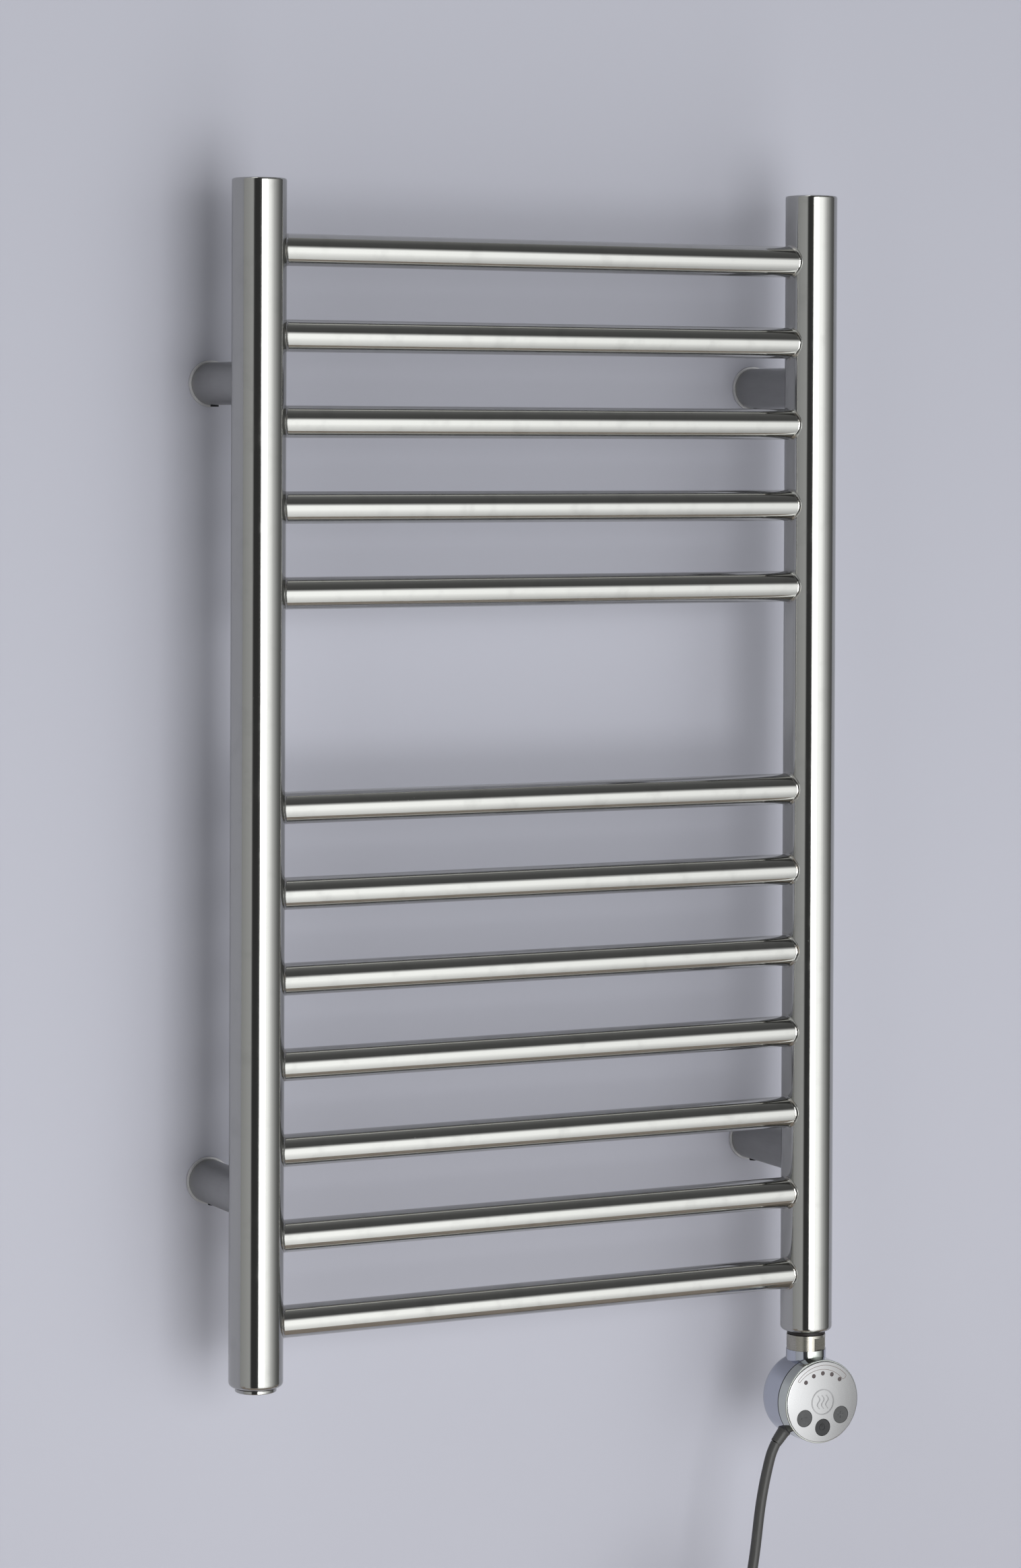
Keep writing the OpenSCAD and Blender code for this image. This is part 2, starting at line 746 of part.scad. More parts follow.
module neck_screw() {
    length = neck_d / 2 - spigot_r;
    color("dimgray") neck_screw_axis() difference() {
        cylinder(r = 1.5, h = length);
        translate([0, 0, length - 1]) cylinder(r = 0.8, h = 2, $fn = 6);
    }
}

// The strain relief is held by its collar inside the shell and tapers outside it.
module cord_relief() {
    collar_r = relief_hole_r + 1.4;
    inner = sqrt(pow(cover_bore_r, 2) - pow(collar_r, 2)) - 0.1;
    color("#3a3a3c") in_head() outlet_axis() rotate_extrude() polygon([
        [0, inner - 7], [relief_hole_r, inner - 7], [relief_hole_r, inner - 1.4],
        [collar_r, inner - 1.4], [collar_r, inner], [relief_hole_r, inner],
        [relief_hole_r, head_r + 0.2], [relief_hole_r - 0.3, head_r + 1],
        [cord_d / 2 + 0.25, head_r + relief_out], [0, head_r + relief_out]]);
}

// A bar that pinches the strain relief on two screws, inside the shell.
module cord_clamp() {
    bar_t = 1.4;
    bar_r = 2.2;
    color("dimgray") in_head() {
        at_cord_clamp(0) translate([-cord_clamp_x, -bar_r, -bar_t])
            cube([2 * cord_clamp_x, 2 * bar_r, bar_t]);
        for (side = [-1, 1]) at_cord_clamp(side) {
            translate([0, 0, -bar_t]) cylinder(r = bar_r, h = bar_t);
            translate([0, 0, -bar_t / 2]) cylinder(r = 1.15, h = 7);
        }
    }
}

// Points of the lead's ring at route point i, square to the route.
function route_dir(route, i) =
    let (a = route[max(i - 1, 0)], b = route[min(i + 1, len(route) - 1)])
    (b - a) / norm(b - a);
function route_ring(route, y, i) =
    let (dir = route_dir(route, i))
    [for (k = [0 : CORD_SIDES - 1]) let (turn = 360 * k / CORD_SIDES)
        [route[i][0] - dir[1] * cord_d / 2 * cos(turn),
         y + cord_d / 2 * sin(turn),
         route[i][1] + dir[0] * cord_d / 2 * cos(turn)]];

// Sweeps the lead's round section along a route that lies at depth y.
module cord_along(route, y) {
    last = len(route) - 1;
    points = [for (i = [0 : last]) each route_ring(route, y, i)];
    sides = [for (i = [0 : last - 1], k = [0 : CORD_SIDES - 1])
        let (next = (k + 1) % CORD_SIDES, low = i * CORD_SIDES, high = low + CORD_SIDES)
        [low + k, high + k, high + next, low + next]];
    start_cap = [for (k = [0 : CORD_SIDES - 1]) k];
    end_cap = [for (k = [CORD_SIDES - 1 : -1 : 0]) last * CORD_SIDES + k];
    color("#3a3a3c") polyhedron(points, concat([start_cap, end_cap], sides), convexity = 4);
}

module cord_lead() {
    cord_along(LEAD_ROUTE, coil_y - cord_d / 2);
}

module cord_tail() {
    cord_along(TAIL_ROUTE, coil_y + cord_d / 2);
}

// Draws its children round the coil's axis: x to the right, y down and z towards the wall.
module at_coil() {
    translate([coil_x, coil_y, coil_z]) rotate([-90, 0, 0]) children();
}

// Outer shape of the turns, three wide and two deep.
module cord_coil() {
    corner = 0.29 * cord_d;
    half_w = 1.5 * cord_d;
    color("#3a3a3c") at_coil() rotate_extrude($fn = 72) translate([coil_r, 0]) polygon([
        [corner - half_w, -cord_d], [half_w - corner, -cord_d], [half_w, corner - cord_d],
        [half_w, cord_d - corner], [half_w - corner, cord_d], [corner - half_w, cord_d],
        [-half_w, cord_d - corner], [-half_w, corner - cord_d]]);
}

// The tie goes round the coil and round the tail, which lies outside the coil there.
module cord_tie() {
    tie_t = 1.2;
    tie_angle = 150;
    slack = 0.4;
    spread = tie_w / (coil_r + cord_d) * 180 / PI;
    inner = coil_r - 1.5 * cord_d - slack;
    outer = coil_r + 2.5 * cord_d + slack;
    half_h = cord_d + slack;
    color("dimgray") at_coil() rotate([0, 0, -tie_angle - spread / 2])
        rotate_extrude(angle = spread, $fn = 72) difference() {
            translate([inner - tie_t, -half_h - tie_t])
                square([outer - inner + 2 * tie_t, 2 * (half_h + tie_t)]);
            translate([inner, -half_h]) square([outer - inner, 2 * half_h]);
        }
}

// Draws its children at the tail's end, with their Z axis pointing down.
module at_plug() {
    tip = TAIL_ROUTE[len(TAIL_ROUTE) - 1];
    translate([tip[0], coil_y + cord_d / 2, tip[1]]) rotate([180, 0, 0]) children();
}

// A round earthed plug: a ribbed grip, a domed shoulder and a flat face with two side slots.
module plug_body() {
    grip_r = 6.5;
    grip_h = 20;
    shoulder_r = 12;
    edge_r = 1.2;
    plug_r = plug_d / 2;
    color("#3a3a3c") at_plug() difference() {
        rotate_extrude() polygon(concat(
            [[0, 0], [cord_d / 2 + 0.8, 0], [grip_r, grip_h]],
            arc([plug_r - shoulder_r, grip_h + shoulder_r + 2], shoulder_r, -90, 0),
            arc([plug_r - edge_r, plug_length - edge_r], edge_r, 0, 90, 3),
            [[0, plug_length]]));
        for (side = [-1, 1])
            translate([-3.5, side * plug_r - 2, plug_length - 18]) cube([7, 4, 19]);
        for (side = [-1, 1])
            translate([side * pin_spacing / 2, 0, plug_length - 8]) cylinder(d = pin_d, h = 9);
        translate([0, 8, plug_length - 14]) cylinder(r = 2.6, h = 15);
    }
}

module plug_pins() {
    clip_t = 0.8;
    plug_r = plug_d / 2;
    color("silver") at_plug() {
        for (side = [-1, 1])
            translate([side * pin_spacing / 2, 0, plug_length - 8]) {
                cylinder(d = pin_d, h = pin_length + 8 - pin_d / 2);
                translate([0, 0, pin_length + 8 - pin_d / 2]) sphere(d = pin_d);
            }
        for (side = [-1, 1])
            translate([-2.5, side * (plug_r - 2 + clip_t / 2) - clip_t / 2, plug_length - 18])
                cube([5, clip_t, 16]);
    }
}

upright(-1);  // upright_left
upright(1);  // upright_right
top_cap(-1);  // top_cap_left
top_cap(1);  // top_cap_right
socket(-1);  // socket_left
socket(1);  // socket_right
for (i = [0 : rail_count - 1]) rail(i);
for (i = [0 : 3]) wall_hub(i);
for (i = [0 : 3]) sleeve(i);
clamp_screws();
sleeve_bolts();
upright_inserts();
blanking_plug();
blanking_seal();
vent_boss();
vent_screw();
element_fitting();
element_seal();
heating_rod();
probe_tube();
rear_housing();
front_cover();
face_disc();
face_emblem();
light_pipes();
button_mat();
circuit_board();
board_parts();
button_minus();
button_power();
button_plus();
cover_screws();
neck_screw();
cord_relief();
cord_clamp();
cord_lead();
cord_coil();
cord_tail();
cord_tie();
plug_body();
plug_pins();
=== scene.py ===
"""Towel warmer rack: finishes, weld beads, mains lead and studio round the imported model.

Metres, in the row frame: the origin lies on the wall in the middle of the four wall fixings,
+X is to the right as seen from the room, +Y goes into the wall and +Z is up.
"""

import json
import math

import bmesh
import bpy
from mathutils import Matrix, Vector, noise


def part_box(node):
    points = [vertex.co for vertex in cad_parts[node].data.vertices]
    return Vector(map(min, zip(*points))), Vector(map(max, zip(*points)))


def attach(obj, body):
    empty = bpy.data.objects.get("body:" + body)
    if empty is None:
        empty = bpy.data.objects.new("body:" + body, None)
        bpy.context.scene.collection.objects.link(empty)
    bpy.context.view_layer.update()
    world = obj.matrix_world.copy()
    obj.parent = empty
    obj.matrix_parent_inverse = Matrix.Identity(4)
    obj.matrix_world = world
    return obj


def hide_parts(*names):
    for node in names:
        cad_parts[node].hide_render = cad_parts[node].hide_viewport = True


bl_info = {
    "name": "Towel Warmer Rack",
    "version": (1, 0, 0),
    "blender": (4, 5, 0),
    "location": "View3D > Sidebar > Towel Rack",
    "description": "Finishes, weld beads, mains lead and studio of a towel warmer rack",
    "category": "Object",
}

MM = 0.001
IMAGE_W, IMAGE_H = 1516, 2328

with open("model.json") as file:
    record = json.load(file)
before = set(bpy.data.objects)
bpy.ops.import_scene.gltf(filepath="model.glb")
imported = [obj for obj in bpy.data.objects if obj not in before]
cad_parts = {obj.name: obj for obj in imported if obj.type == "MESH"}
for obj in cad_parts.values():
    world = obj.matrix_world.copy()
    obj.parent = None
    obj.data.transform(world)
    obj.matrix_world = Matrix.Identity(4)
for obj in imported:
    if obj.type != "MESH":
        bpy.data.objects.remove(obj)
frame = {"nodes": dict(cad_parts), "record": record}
NODES = frame["nodes"]
SLOT_OF_NODE = {s["node"]: s["material_slot"] for s in frame["record"]["subparts"]}
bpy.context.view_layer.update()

RAIL_NAMES = sorted(name for name in NODES if name.startswith("rail_"))


def middle(node):
    """Centre of a CAD node's box."""
    low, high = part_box(node)
    return (low + high) / 2


def extent(node):
    """Size of a CAD node's box."""
    low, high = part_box(node)
    return high - low


RAIL_R = extent(RAIL_NAMES[0]).z / 2
RAIL_Y = middle(RAIL_NAMES[0]).y
UPRIGHT_X = middle("top_cap_right").x
UPRIGHT_R = extent("top_cap_right").x / 2
HEAD = middle("face_disc")
FACE_R = extent("face_disc").x / 2
FACE_EDGE_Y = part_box("face_disc")[0].y
FACE_CROWN = 0.5 * MM
FACE_DOME = 1.5 * MM
PARTING_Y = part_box("front_cover")[1].y

# ---------------------------------------------------------------- sizes and colours


def linear(red, green, blue):
    """Scene colour of a screen colour from 0 to 255."""
    return tuple(
        c / 12.92 if c <= 0.04045 else ((c + 0.055) / 1.055) ** 2.4
        for c in (red / 255, green / 255, blue / 255)
    )


def colour_prop(name, description, screen):
    """A colour setting whose default is a screen colour."""
    return bpy.props.FloatVectorProperty(
        name=name, description=description, subtype="COLOR", size=3, min=0, max=1,
        default=linear(*screen),
    )


def length_prop(name, description, default):
    """A length setting in metres."""
    return bpy.props.FloatProperty(
        name=name, description=description, default=default, min=0, subtype="DISTANCE",
        unit="LENGTH",
    )


def factor_prop(name, description, default):
    """A setting from 0 to 1."""
    return bpy.props.FloatProperty(
        name=name, description=description, default=default, min=0, max=1, subtype="FACTOR"
    )


class RackFinish(bpy.types.PropertyGroup):
    """Colours and surface qualities of the rack."""

    steel: colour_prop("Polished steel", "Colour of the tubes", (172, 172, 169))
    satin: colour_prop("Satin steel", "Colour of the wall brackets", (156, 156, 155))
    nickel: colour_prop("Nickel", "Colour of the element's fitting", (171, 169, 164))
    chrome: colour_prop("Chrome", "Colour of the head's shells", (186, 190, 200))
    face: colour_prop("Face", "Colour of the head's face disc", (170, 170, 171))
    button: colour_prop("Buttons", "Colour of the outer buttons", (70, 71, 72))
    power: colour_prop("Power button", "Colour of the middle button", (36, 37, 39))
    lens: colour_prop("Lights", "Colour of the unlit lights", (46, 30, 30))
    sheath: colour_prop("Lead", "Colour of the mains lead", (61, 61, 60))
    polish: factor_prop("Polish roughness", "Roughness of the polished tubes", 0.085)
    brush: factor_prop("Satin roughness", "Roughness of the satin brackets", 0.36)
    wobble: length_prop("Polish wobble", "Height of the waves left by polishing", 0.00012)


class RackSizes(bpy.types.PropertyGroup):
    """Sizes of the pieces that are made here."""

    weld: length_prop("Weld", "Width of the weld bead round a rail's end", 0.0013)
    lead_d: length_prop("Lead diameter", "Outer diameter of the mains lead", 0.0064)
    coil_r: length_prop("Coil radius", "Radius of the coil at the middle of its turns", 0.0335)
    line: length_prop("Scale line", "Width of the line round the lights", 0.00028)


class StudioSettings(bpy.types.PropertyGroup):
    """Camera, wall and light."""

    wall: colour_prop("Wall", "Colour of the wall", (193, 194, 205))
    floor: colour_prop("Floor", "Colour of the floor", (222, 208, 192))
    key: bpy.props.FloatProperty(
        name="Key light", description="Power of the large soft light", default=24, min=0,
        subtype="POWER", unit="POWER",
    )
    room: bpy.props.FloatProperty(
        name="Room", description="Brightness of the room round the rack", default=1, min=0
    )
    lens: bpy.props.FloatProperty(
        name="Lens", description="Focal length", default=98.9, min=1, subtype="DISTANCE_CAMERA"
    )


# ---------------------------------------------------------------- shader building


class Wire:
    """An output socket that can be written into sums."""

    def __init__(self, recipe, socket):
        self.recipe = recipe
        self.socket = socket

    def also(self, key):
        """Another output of the same node."""
        return Wire(self.recipe, pick(self.socket.node.outputs, key))

    def sum(self, operation, *terms):
        """The result of a Math node."""
        return self.recipe.node(
            "ShaderNodeMath", {"operation": operation}, dict(enumerate(terms))
        )

    def __add__(self, other):
        return self.sum("ADD", self, other)

    def __sub__(self, other):
        return self.sum("SUBTRACT", self, other)

    def __rsub__(self, other):
        return self.sum("SUBTRACT", other, self)

    def __mul__(self, other):
        return self.sum("MULTIPLY", self, other)

    def __truediv__(self, other):
        return self.sum("DIVIDE", self, other)

    def __rtruediv__(self, other):
        return self.sum("DIVIDE", other, self)

    def __pow__(self, other):
        return self.sum("POWER", self, other)

    def __rpow__(self, other):
        return self.sum("POWER", other, self)

    def __neg__(self):
        return self.sum("MULTIPLY", self, -1)

    def __lt__(self, other):
        return self.sum("LESS_THAN", self, other)

    def __gt__(self, other):
        return self.sum("GREATER_THAN", self, other)

    def __abs__(self):
        return self.sum("ABSOLUTE", self)

    __radd__ = __add__
    __rmul__ = __mul__


def pick(sockets, key):
    """A socket by number, identifier or name."""
    if isinstance(key, int):
        return sockets[key]
    return next((s for s in sockets if s.identifier == key), None) or sockets[key]


class Recipe:
    """A node tree in the making."""

    def __init__(self, tree):
        self.tree = tree
        tree.nodes.clear()

    def node(self, kind, settings=None, sockets=None, out=0):
        """Adds a node: its settings first, then the values and links of its sockets."""
        made = self.tree.nodes.new(kind)
        for key, value in (settings or {}).items():
            if key == "stops":
                self.set_stops(made.color_ramp, value)
            else:
                setattr(made, key, value)
        for key, value in (sockets or {}).items():
            socket = pick(made.inputs, key)
            if isinstance(value, Wire):
                self.tree.links.new(value.socket, socket)
            else:
                socket.default_value = value
        return Wire(self, pick(made.outputs, out)) if len(made.outputs) else None

    @staticmethod
    def set_stops(ramp, stops):
        """Gives a ramp its stops: position and grey value."""
        while len(ramp.elements) > 1:
            ramp.elements.remove(ramp.elements[-1])
        for index, (position, value) in enumerate(stops):
            stop = ramp.elements.new(position) if index else ramp.elements[0]
            stop.position = position
            stop.color = (value, value, value, 1)

    def place(self):
        """The surface point in metres, in the row frame at rest."""
        return self.node("ShaderNodeTexCoord", out="Object")

    def scaled(self, vector, *scale):
        """A vector stretched along its three axes."""
        return self.node(
            "ShaderNodeVectorMath", {"operation": "MULTIPLY"}, {0: vector, 1: scale}
        )

    def grain(self, per_metre, detail=3.0, rough=0.55, stretch=(1, 1, 1)):
        """Noise with a given number of cells in a metre."""
        return self.node(
            "ShaderNodeTexNoise",
            sockets={
                "Vector": self.scaled(self.place(), *stretch),
                "Scale": per_metre, "Detail": detail, "Roughness": rough,
            },
        )

    def cells(self, per_metre, feature="F1"):
        """Distance to the nearest point of a scatter of points."""
        return self.node(
            "ShaderNodeTexVoronoi", {"feature": feature},
            {"Vector": self.place(), "Scale": per_metre}, out="Distance",
        )

    def ramp(self, wire, stops):
        """Values that change evenly from stop to stop."""
        return self.node("ShaderNodeValToRGB", {"stops": stops}, {"Fac": wire}, out="Color")

    def between(self, wire, low, high):
        """0 below low and 1 above high, smoothly."""
        return self.node(
            "ShaderNodeMapRange", {"interpolation_type": "SMOOTHSTEP"},
            {"Value": wire, "From Min": low, "From Max": high},
        )

    def mix(self, mask, first, second):
        """The first colour where the mask is 0 and the second where it is 1."""
        colours = {"A_Color": first, "B_Color": second}
        return self.node(
            "ShaderNodeMix", {"data_type": "RGBA"},
            {"Factor_Float": mask, **{
                k: v if isinstance(v, Wire) else (*v[:3], 1) for k, v in colours.items()
            }},
            out="Result_Color",
        )

    def relief(self, height, depth, under=None):
        """A bump of the given depth in metres."""
        sockets = {"Height": height, "Distance": depth, "Strength": 1.0}
        if under is not None:
            sockets["Normal"] = under
        return self.node("ShaderNodeBump", sockets=sockets)


def shade(colour, factor):
    """A colour made lighter or darker."""
    return tuple(min(1.0, c * factor) for c in tuple(colour)[:3])


def material(name, build, settings):
    """A new material whose nodes are made by build(recipe, settings), which returns the sockets
    of the Principled BSDF."""
    made = bpy.data.materials.new(name)
    made.use_nodes = True
    recipe = Recipe(made.node_tree)
    sockets = build(recipe, settings)
    surface = recipe.node("ShaderNodeBsdfPrincipled", sockets={
        k: (*v, 1) if isinstance(v, tuple) and len(v) == 3 else v for k, v in sockets.items()
    })
    recipe.node("ShaderNodeOutputMaterial", sockets={"Surface": surface})
    made.diffuse_color = (*shade(settings.steel, 1), 1)
    return made


def mirror_polish(r, s):
    """What the tubes' finishes share: slow waves, fine polishing lines and a few dull spots
    and pits. Returns the masks of the spots and the pits, and the sockets."""
    waves = r.grain(14, detail=2, rough=0.5)
    lines = r.grain(900, detail=2, stretch=(1, 1, 0.06))
    dull = r.between(r.grain(55, detail=4, rough=0.6), 0.5, 0.78)
    pits = r.between(r.cells(420), 0.10, 0.03) * r.between(r.grain(30), 0.58, 0.7)
    normal = r.relief(waves, s.wobble)
    normal = r.relief(lines, 0.0000022, under=normal)
    return dull, pits, {
        "Metallic": 1.0,
        "Roughness": s.polish + dull * 0.05 + lines * 0.02 + pits * 0.2,
        "Normal": r.relief(pits, -0.00003, under=normal),
    }


def polished_steel(r, s):
    """Mirror-polished tube, greyer in its dull spots and pits."""
    dull, pits, sockets = mirror_polish(r, s)
    spots = dull * 0.5 + pits * 0.4
    return {**sockets, "Base Color": r.mix(spots, s.steel, shade(s.steel, 0.86))}


def rail_steel(r, s):
    """The rails take the tubes' steel made a little brighter than on the uprights: painted
    light, for the brighter reflections the rails show.
    """
    sockets = mirror_polish(r, s)[2]
    # painted light: the rails' steel is 10% brighter than the same steel on the uprights
    painted_bright_steel = shade(s.steel, 1.1)
    dull = r.between(r.grain(70, detail=3), 0.5, 0.8)
    return {**sockets, "Base Color": r.mix(dull, painted_bright_steel, shade(painted_bright_steel, 0.9))}


def weld_steel(r, s):
    """Ground and polished weld: small dents and a trace of heat colour."""
    dents = r.grain(420, detail=3, rough=0.6)
    heat = r.between(r.grain(160, detail=2), 0.45, 0.75)
    return {
        "Base Color": r.mix(heat, shade(s.steel, 0.96), shade((s.steel[0], s.steel[1] * 0.9,
                                                               s.steel[2] * 0.8), 0.8)),
        "Metallic": 1.0,
        "Roughness": s.polish + 0.06 + heat * 0.12,
        "Normal": r.relief(dents, 0.00022),
    }


def satin_steel(r, s):
    """Satin tube, brushed round its axis."""
    lines = r.grain(1500, detail=3, stretch=(1, 0.05, 1))
    blotch = r.grain(60, detail=3)
    return {
        "Base Color": r.mix(lines * 0.5 + blotch * 0.3, shade(s.satin, 1.05),
                            shade(s.satin, 0.8)),
        "Metallic": 1.0,
        "Roughness": s.brush - 0.06 + blotch * 0.12,
        "Normal": r.relief(lines, 0.00001),
    }


def zinc_steel(r, s):
    """Plated screws and tubes, slightly blotchy."""
    blotch = r.grain(240, detail=4)
    return {
        "Base Color": r.mix(blotch, linear(198, 200, 204), linear(150, 152, 150)),
        "Metallic": 1.0,
        "Roughness": 0.22 + blotch * 0.16,
        "Normal": r.relief(r.grain(1300, detail=2), 0.00001),
    }


def black_steel(r, s):
    """Black oxide on steel, worn to grey on its high spots."""
    wear = r.between(r.grain(500, detail=4), 0.55, 0.8)
    return {
        "Base Color": r.mix(wear, linear(38, 38, 40), linear(96, 94, 90)),
        "Metallic": 0.8,
        "Roughness": 0.36 + wear * 0.12,
        "Normal": r.relief(r.grain(1500), 0.00001),
    }


def brass(r, s):
    """Plain brass with faint tarnish."""
    tarnish = r.grain(260, detail=4)
    return {
        "Base Color": r.mix(tarnish, linear(214, 178, 104), linear(168, 132, 72)),
        "Metallic": 1.0,
        "Roughness": 0.24 + tarnish * 0.14,
        "Normal": r.relief(r.grain(1200, stretch=(1, 1, 6)), 0.00001),
    }


def nickel_brass(r, s):
    """Nickel over turned brass: fine turning lines round the axis, warm where it is thin."""
    turned = r.grain(260, detail=2, stretch=(0.2, 0.2, 9))
    thin = r.grain(140, detail=4)
    return {
        "Base Color": r.mix(thin, s.nickel, shade((s.nickel[0], s.nickel[1] * 0.97,
                                                   s.nickel[2] * 0.86), 0.86)),
        "Metallic": 1.0,
        "Roughness": 0.2 + turned * 0.1 + thin * 0.06,
        "Normal": r.relief(turned, 0.000012),
    }


def seal_rubber(r, s):
    """Dark red-brown sealing ring."""
    mottle = r.grain(700, detail=4)
    return {
        "Base Color": r.mix(mottle, linear(13, 8, 8), linear(25, 15, 14)),
        "Roughness": 0.5 + mottle * 0.12,
        "Normal": r.relief(mottle, 0.00003),
    }


def chrome_plastic(r, s):
    """Chrome plating on moulded plastic: smooth, with slow sink waves, painted shade in the
    parting groove and a brighter front cover."""
    sink = r.grain(28, detail=1)
    dust = r.between(r.grain(900, detail=4, rough=0.7), 0.62, 0.8)
    behind = r.node("ShaderNodeSeparateXYZ", sockets={0: r.place()}, out="Y") - PARTING_Y
    # painted shade: the parting groove is darkened to near black, as if in its own shadow; the
    # same mask makes it rougher
    shaded_groove = r.between(abs(behind), 0.6 * MM, 0.3 * MM)
    plating = r.mix(behind < 0, s.chrome, (*(shade(s.chrome, 1.2)[:2]), s.chrome[2]))
    worn = r.mix(sink * 0.2 + dust * 0.2, plating, shade(s.chrome, 0.8))
    return {
        "Base Color": r.mix(shaded_groove * 0.9, worn, linear(34, 32, 32)),
        "Metallic": 1.0,
        "Roughness": 0.05 + dust * 0.1 + shaded_groove * 0.3,
        "Normal": r.relief(sink, 0.00016),
    }


def satin_dome(r):
    """What the face and its emblem share: a fine sparkle over a slight dome. Returns the
    sparkle's mask and the sockets."""
    sparkle = r.grain(2600, detail=2, rough=0.7)
    from_middle = r.node(
        "ShaderNodeVectorMath", {"operation": "DISTANCE"}, {0: r.place(), 1: tuple(HEAD)},
        out="Value",
    ) / FACE_R
    dome = r.relief(from_middle**2, -FACE_DOME)
    return sparkle, {
        "Metallic": 1.0,
        "Roughness": 0.2 + sparkle * 0.12,
        "Normal": r.relief(sparkle, 0.000012, under=dome),
    }


def face_satin(r, s):
    """Satin silver face with a fine sparkle and faint clouds."""
    sparkle, sockets = satin_dome(r)
    spots = sparkle * 0.5 + r.grain(45, detail=2) * 0.3
    return {**sockets, "Base Color": r.mix(spots, s.face, shade(s.face, 0.88))}


def emblem_satin(r, s):
    """The emblem is coloured a shade darker than the face round it: painted shade, standing in
    for the light and shade on its relief.
    """
    sockets = satin_dome(r)[1]
    tone = r.grain(600, detail=3)
    # painted shade: the emblem's colour is darkened to 62 to 78% of the face's
    return {**sockets, "Base Color": r.mix(tone, shade(s.face, 0.62), shade(s.face, 0.78))}


def hub_satin(r, s):
    """Pale satin plating of the hubs, whose flanges show as thin rims on the wall."""
    cloud = r.grain(300, detail=4)
    return {
        "Base Color": r.mix(cloud, linear(212, 212, 214), linear(188, 188, 190)),
        "Metallic": 0.35,
        "Roughness": 0.38 + cloud * 0.14,
        "Normal": r.relief(cloud, 0.00001),
    }


def scale_ink(r, s):
    """Line round the lights."""
    worn = r.grain(1800, detail=3)
    return {
        "Base Color": r.mix(worn, linear(104, 90, 86), linear(136, 124, 120)),
        "Roughness": 0.45 + worn * 0.1,
        "Metallic": 0.3,
        "Normal": r.relief(worn, 0.00001),
    }


def light_dark(r, s):
    """Smoked lens of an unlit light."""
    haze = r.grain(900, detail=3)
    return {
        "Base Color": r.mix(haze, s.lens, shade(s.lens, 1.8)),
        "Roughness": 0.18 + haze * 0.08,
        "Coat Weight": 0.4,
        "Normal": r.relief(haze, 0.00001),
    }


def soft_button(colour):
    """A moulded rubber button of the given setting."""

    def build(r, s):
        grain = r.grain(2200, detail=3, rough=0.6)
        rub = r.between(r.grain(300, detail=3), 0.5, 0.75)
        base = getattr(s, colour)
        return {
            "Base Color": r.mix(grain * 0.5 + rub * 0.4, base, shade(base, 1.35)),
            "Roughness": 0.5 + grain * 0.1 - rub * 0.1,
            "Normal": r.relief(grain, 0.00002),
        }

    return build


def board_green(r, s):
    """Circuit board with a faint weave under its lacquer."""
    weave = r.grain(1400, detail=1, stretch=(1, 1, 3))
    return {
        "Base Color": r.mix(weave, linear(22, 74, 48), linear(36, 98, 60)),
        "Roughness": 0.32 + weave * 0.1,
        "Coat Weight": 0.5,
        "Normal": r.relief(weave, 0.00001),
    }


def component_plastic(r, s):
    """Plain dark plastic of parts inside the head."""
    grain = r.grain(1500, detail=3)
    return {
        "Base Color": r.mix(grain, linear(40, 42, 46), linear(62, 64, 68)),
        "Roughness": 0.42 + grain * 0.14,
        "Normal": r.relief(grain, 0.00002),
    }


def cord_sheath(r, s):
    """Soft sheath of the lead, slightly scuffed."""
    skin = r.grain(1600, detail=3, rough=0.6)
    scuff = r.between(r.grain(120, detail=4, rough=0.65), 0.52, 0.78)
    return {
        "Base Color": r.mix(skin * 0.4 + scuff * 0.5, s.sheath, shade(s.sheath, 1.6)),
        "Roughness": 0.4 + skin * 0.08 + scuff * 0.12,
        "Normal": r.relief(skin, 0.00003),
    }


def tie_band(r, s):
    """Woven hook and loop band."""
    weave = r.node(
        "ShaderNodeTexWave", {"wave_type": "BANDS", "bands_direction": "DIAGONAL"},
        {"Vector": r.place(), "Scale": 420, "Distortion": 1.5}, out="Fac",
    )
    fluff = r.grain(1800, detail=4)
    return {
        "Base Color": r.mix(weave * 0.6 + fluff * 0.4, linear(30, 30, 32), linear(66, 66, 70)),
        "Roughness": 0.86 + fluff * 0.1,
        "Normal": r.relief(weave * 0.6 + fluff * 0.4, 0.0002),
    }


def plug_plastic(r, s):
    """Moulded plug with a fine spark-eroded grain."""
    grain = r.grain(1300, detail=3, rough=0.65)
    rub = r.between(r.grain(90, detail=3), 0.5, 0.75)
    return {
        "Base Color": r.mix(grain * 0.4 + rub * 0.4, s.sheath, shade(s.sheath, 1.5)),
        "Roughness": 0.52 + grain * 0.12 - rub * 0.12,
        "Normal": r.relief(grain, 0.00006),
    }


def pin_nickel(r, s):
    """Nickel-plated pins with draw marks along them."""
    drawn = r.grain(1400, detail=2, stretch=(1, 1, 0.06))
    return {
        "Base Color": r.mix(drawn, linear(206, 202, 192), linear(172, 168, 158)),
        "Metallic": 1.0,
        "Roughness": 0.2 + drawn * 0.12,
        "Normal": r.relief(drawn, 0.000006),
    }


